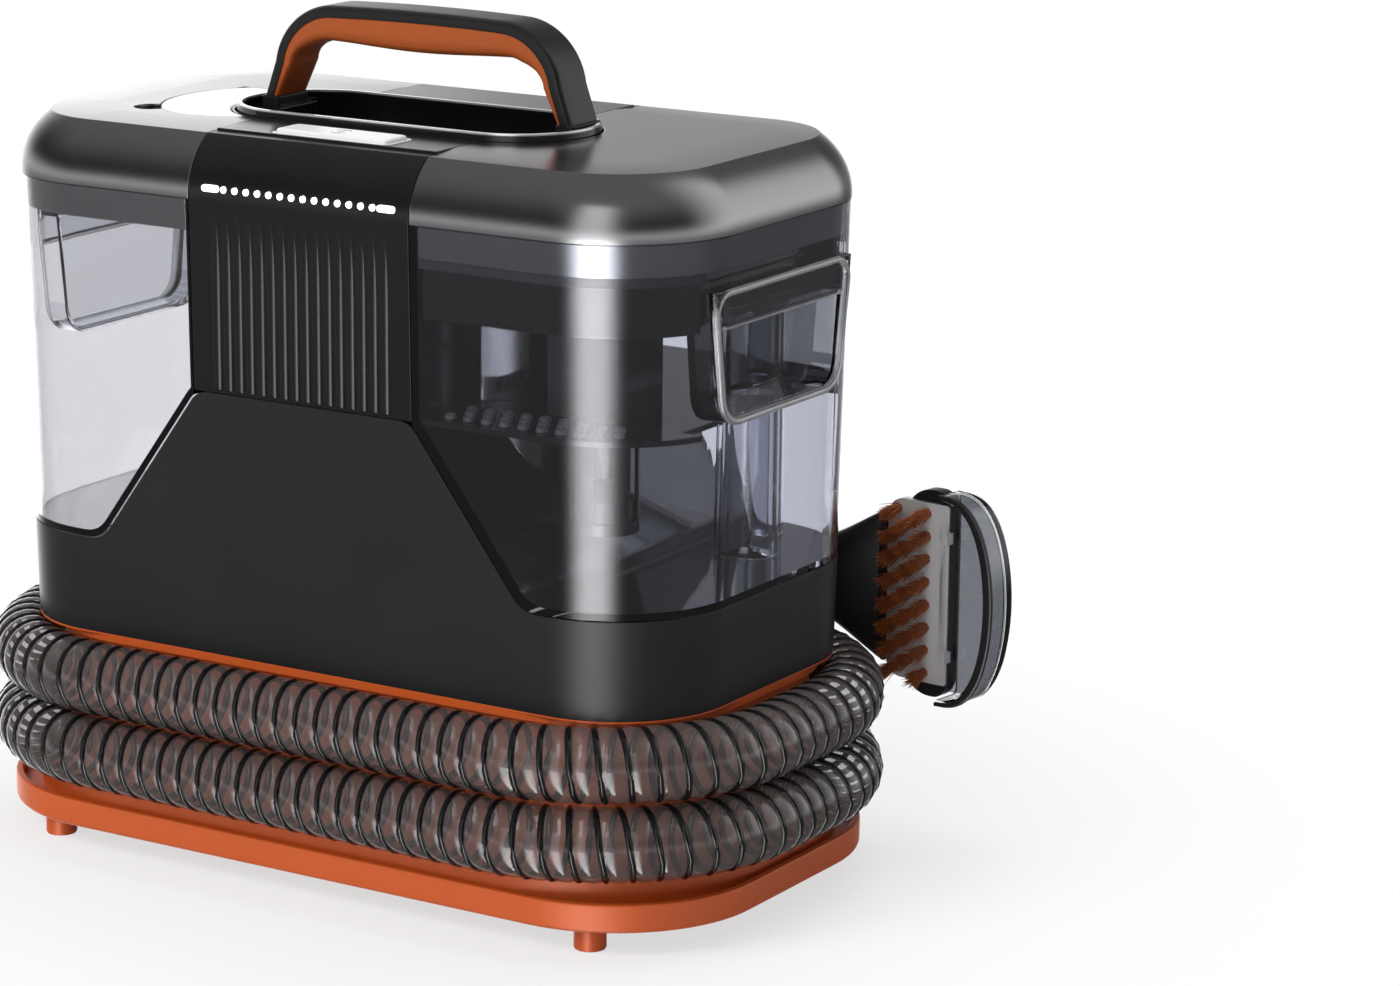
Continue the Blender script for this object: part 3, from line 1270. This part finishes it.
def head_slab(name, outline, y0, y1, soft=0.0):
    """Outline in the head's face pushed from y0 to y1, its back edge softened."""
    cx = sum(x for x, _ in outline) / len(outline)
    reach = max(abs(z) for _, z in outline)
    steps = [(0, y0), (0, y1)] if not soft else [
        (0, y0), (0, y1 - soft), (soft * 0.12, y1 - soft * 0.6),
        (soft * 0.5, y1 - soft * 0.15), (soft, y1)]
    return skin(name, [[on_head(cx + (x - cx) * (1 - a / reach * 1.6), y, z * (1 - a / reach))
                        for x, z in outline] for a, y in steps])


def flare(name, sides=56, cuts=28):
    """Neck that grows from round to the head's wide flat section."""
    neck_x, neck_r, head_wide = 96, 14, 41.5
    end = on_head(7, head_t / 2, 0)
    rows = []
    for i in range(cuts + 1):
        t = i / cuts
        blend, wide = ease(t, 0.12, 0.92), ease(t, 0.2, 1.0)
        x = (1 - t) ** 2 * neck_x + 2 * t * (1 - t) * (neck_x + 42) + t * t * end[0]
        y = (1 - t * t) * grip_y + t * t * end[1]
        z = grip_z + (end[2] - grip_z) * blend
        heading = turn_by * ease(t, 0.25, 0.95)
        thick = neck_r + (head_t / 2 - 0.25 - neck_r) * blend
        tall = neck_r + (head_wide - neck_r) * wide ** 1.25
        squareness = 2 / (2 + 1.6 * blend)
        row = []
        for c, s in circle(0, 0, 1, sides):
            out = thick * math.copysign(abs(c) ** squareness, c)
            up = tall * math.copysign(abs(s) ** squareness, s)
            row.append((x - out * math.sin(heading), y + out * math.cos(heading), z + up))
        rows.append(row)
    return skin(name, rows)


collar = turned_x("collar", grip_y, grip_z, (
    (62.2, 10.8), (62.6, 11), (92.3, 11), (92.4, 13.2), (92.9, 13.9), (97, 14), (103, 14)))
head_outline = rounded(-2, 22, head_half - 0.4, 14, 8)
recess = head_slab("recess", rounded(-12, 18, 41.5, 9, 2), -7, 3.4)
tool_body = shaped(flare("flare"), join=[collar, head_slab("head", head_outline, 0, head_t, 3.2)],
                   cut=[recess, turned_x("airway", grip_y, grip_z, ((60, 7.5), (132, 7.5))),
                        slab("lock pocket", 101, 115.8, grip_y + 5, grip_y + 25,
                             grip_z - 5.4, grip_z + 5.4)])
tool_body.name = "tool_body_shell"
finished(tool_body, tool_black, "brush_tool", crease=40)
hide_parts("tool_body")
dress("tool_lock", silver)

white_plastic = moulded("white tool plastic", (0.8, 0.81, 0.83), 0.35, grain=700, mottle=0.02,
                        worn=0.02)
plate_back = -0.6
plate = shaped(head_slab("brush_plate_face", rounded(-11.5, 17.5, 41, 8.6, 1.6), plate_back, 3.2),
               join=head_slab("flange", rounded(10, 21.6, 41, 1.6, 1.6), plate_back, 0.05))
finished(plate, white_plastic, "brush_tool")
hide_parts("brush_plate")
dress("visor_clips", white_plastic)

# Bristle finish: brown nylon, darker and lighter from fibre to fibre.
brown_nylon = bpy.data.materials.new("brown bristle nylon")
bench = bare(brown_nylon)
fine = bench.noise(bench.add("ShaderNodeTexCoord", out="Object"), 1500.0, 2.0)
tone = bench.add("ShaderNodeValToRGB", sockets={"Fac": fine})
ramp = tone.node.color_ramp.elements
ramp.new(0.5)
for stop, place, colour in zip(ramp, (0.3, 0.5, 0.7), (
        (0.09, 0.022, 0.007, 1), (0.42, 0.11, 0.028, 1), (0.75, 0.26, 0.09, 1))):
    stop.position, stop.color = place, colour
bench.surface(Base_Color=tone, Roughness=fine * 0.2 + 0.35)


def tufts(bench, given):
    """Three staggered rows of tufts, each a seeded bunch of fine tapered fibres."""
    disc = bench.add("GeometryNodeMeshCircle", {"fill_type": "NGON"},
                     {"Vertices": 20, "Radius": given("Tuft radius")})
    roots = bench.add("GeometryNodeDistributePointsOnFaces", sockets={
        "Mesh": disc, "Density": given("Fibres"), "Seed": given("Seed")}, out="Points")
    fibre = bench.add("GeometryNodeMeshCone", sockets={
        "Vertices": 4, "Radius Top": 0.0001, "Radius Bottom": 0.0002,
        "Depth": given("Length")}, out="Mesh")
    root = bench.add("ShaderNodeSeparateXYZ",
                     sockets={"Vector": bench.add("GeometryNodeInputPosition")})
    spread = offset(bench, root.out("Y") * -120, root * 120)
    jitter = bench.add("FunctionNodeRandomValue", {"data_type": "FLOAT_VECTOR"},
                       {"Min": (-0.1, -0.1, -3.0), "Max": (0.1, 0.1, 3.0), "Seed": given("Seed")})
    length = bench.add("FunctionNodeRandomValue", {"data_type": "FLOAT"},
                       {2: 0.86, 3: 1.03, "Seed": 7}, out=1)
    bunch = bench.add("GeometryNodeInstanceOnPoints", sockets={
        "Points": roots, "Instance": fibre, "Rotation": bench.vector("ADD", spread, jitter),
        "Scale": offset(bench, 1.0, 1.0, length)})
    bunch = bench.add("GeometryNodeRealizeInstances", sockets={"Geometry": bunch})
    rows = []
    for row, count in enumerate((8, 7, 8)):
        start = offset(bench, given("Row pitch") * (row - 1),
                       given("Tuft pitch") * (-(count - 1) / 2))
        spin = bench.add("FunctionNodeRandomValue", {"data_type": "FLOAT_VECTOR"},
                         {"Min": (-0.05, -0.05, 0.0), "Max": (0.05, 0.05, 6.0), "Seed": row})
        rows.append(in_line(bench, bunch, count, start, offset(bench, 0.0, given("Tuft pitch")),
                            Rotation=spin))
    return together(bench, rows)


bristles = grown("bristle_tufts", tufts, {
    "Tuft radius": ("Float", 2.1 * mm), "Length": ("Float", 11.5 * mm), "Fibres": ("Float", 1.1e7),
    "Row pitch": ("Float", 8 * mm), "Tuft pitch": ("Float", 73 / 7 * mm), "Seed": ("Int", 3),
    "Material": ("Material", brown_nylon)})
for point in bristles.data.vertices:
    x, y, z = point.co / mm
    point.co = Vector(on_head(2 + x, plate_back - z, y - 0.12 * max(0, z))) * mm
finished(bristles, brown_nylon, "brush_tool", crease=80)
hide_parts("bristles")


hood_x, hood_reach = 22.1, 29


def hood_slab(name, steps, back=0.0, cuts=36):
    """Curved hood, seen from the bristles, from (inset, y) steps, moved back."""
    turns = [math.radians(90 - 180 * i / cuts) for i in range(cuts + 1)]
    return skin(name, [[on_head(
        hood_x + (hood_reach - inset) * max(0.0, math.cos(a)) ** 0.7 - back, y,
        (head_half - inset) * math.sin(a)) for a in turns] for inset, y in steps])


hood_clear = clear_plastic("clear hood plastic", (0.72, 0.73, 0.76))
hood = shaped(hood_slab("hood_shell", ((0, -8), (0, 5.5), (0.5, 7.4), (1.6, 8.6), (3.4, 9))),
              cut=hood_slab("hood room", ((2.2, -30), (2.2, 4.8), (3.2, 6.4), (4.4, 7)), 2.5))
finished(hood, hood_clear, "brush_tool", crease=40)
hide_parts("visor")
hood_smoke = clear_plastic("smoky hood liner", (0.27, 0.28, 0.3))
liner = hood_slab("hood_liner", ((3.2, 3.5), (3.2, 4.5)), 1.5)
finished(liner, hood_smoke, "brush_tool", crease=40)
lip_black = moulded("black lip rubber", (0.008, 0.008, 0.009), 0.4, grain=900)
lip = shaped(hood_slab("hood_lip", ((0.2, -9.65), (-0.3, -9.3), (-0.4, -8.8), (-0.4, -8.05))),
             cut=hood_slab("lip room", ((1.3, -27), (1.3, 1)), 2.5))
finished(lip, lip_black, "brush_tool")
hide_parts("visor_gasket")
